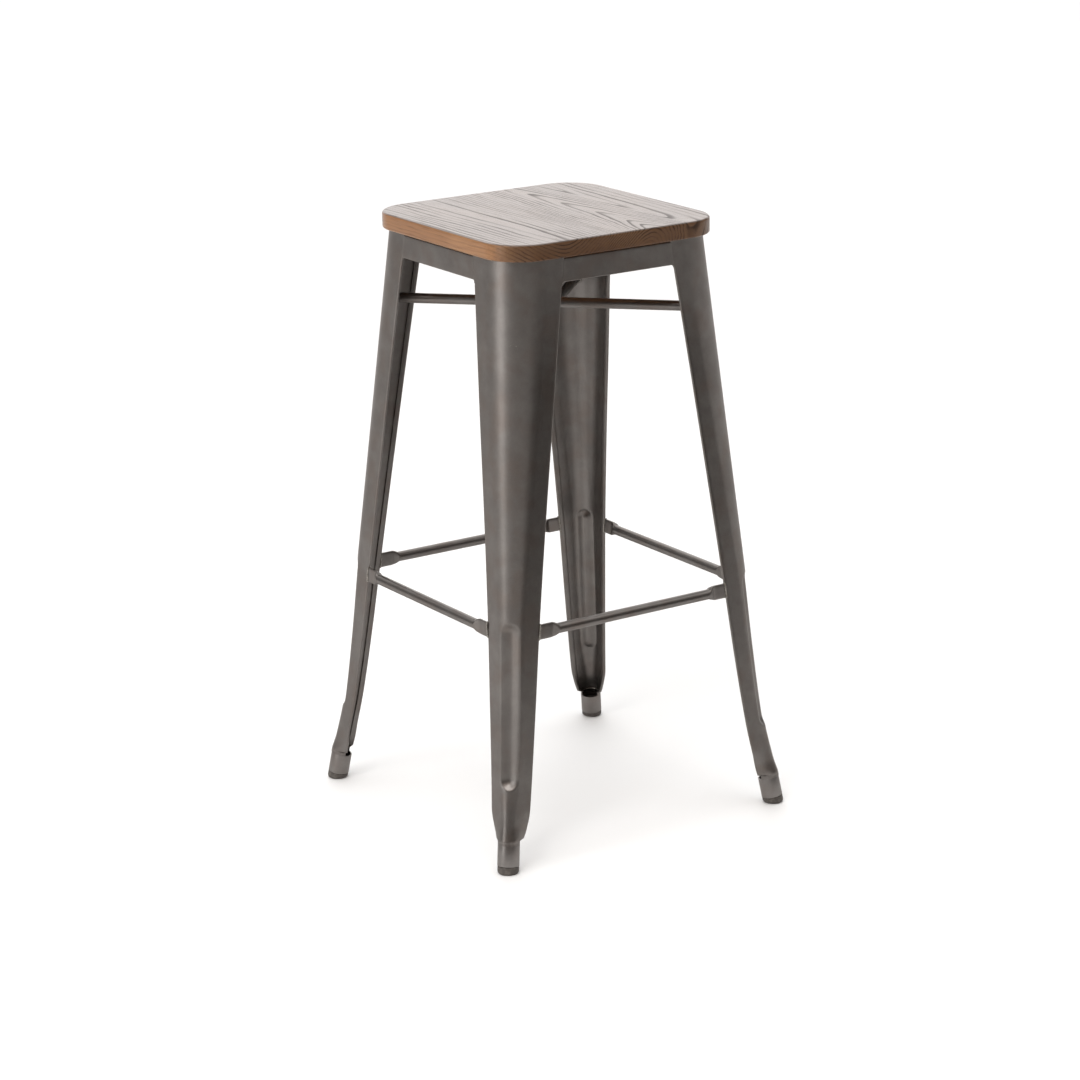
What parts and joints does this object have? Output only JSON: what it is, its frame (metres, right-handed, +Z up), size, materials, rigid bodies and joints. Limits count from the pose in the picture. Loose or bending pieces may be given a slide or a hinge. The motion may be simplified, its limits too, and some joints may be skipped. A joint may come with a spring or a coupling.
{
  "type": "bar stool",
  "caption": "Backless bar stool with a square wooden seat, splayed sheet-metal legs, an all-round footrest and crossed braces under the seat.",
  "frame": {"origin": "on the floor, under the centre of the seat", "axes": "+Z is up; X and Y run along the sides of the square seat; -Y is the side between the front_left and front_right legs"},
  "size_m": [0.4352, 0.4352, 0.762],
  "materials": {
    "gunmetal_steel": "satin gunmetal finish, clear over mottled steel",
    "sleeve_steel": "satin gunmetal finish, a little lighter than the legs",
    "zinc_steel": "zinc plated",
    "stained_wood": "brown stain under a satin clear coat, the grain showing",
    "dark_rubber": "matt"
  },
  "bodies": {
    "root": {"apron_back": "gunmetal_steel", "apron_front": "gunmetal_steel", "apron_left": "gunmetal_steel", "apron_right": "gunmetal_steel", "corner_plate_back_left": "gunmetal_steel", "corner_plate_back_right": "gunmetal_steel", "corner_plate_front_left": "gunmetal_steel", "corner_plate_front_right": "gunmetal_steel", "cross_brace_lower": "gunmetal_steel", "cross_brace_upper": "gunmetal_steel", "foot_sleeve_back_left": "sleeve_steel", "foot_sleeve_back_right": "sleeve_steel", "foot_sleeve_front_left": "sleeve_steel", "foot_sleeve_front_right": "sleeve_steel", "footrest_rail_back": "gunmetal_steel", "footrest_rail_front": "gunmetal_steel", "footrest_rail_left": "gunmetal_steel", "footrest_rail_right": "gunmetal_steel", "leg_back_left": "gunmetal_steel", "leg_back_right": "gunmetal_steel", "leg_front_left": "gunmetal_steel", "leg_front_right": "gunmetal_steel", "rubber_foot_back_left": "dark_rubber", "rubber_foot_back_right": "dark_rubber", "rubber_foot_front_left": "dark_rubber", "rubber_foot_front_right": "dark_rubber", "seat_board": "stained_wood", "seat_screw_back": "zinc_steel", "seat_screw_back_left": "zinc_steel", "seat_screw_back_right": "zinc_steel", "seat_screw_front": "zinc_steel", "seat_screw_front_left": "zinc_steel", "seat_screw_front_right": "zinc_steel", "seat_screw_left": "zinc_steel", "seat_screw_right": "zinc_steel"}
  },
  "joints": []
}
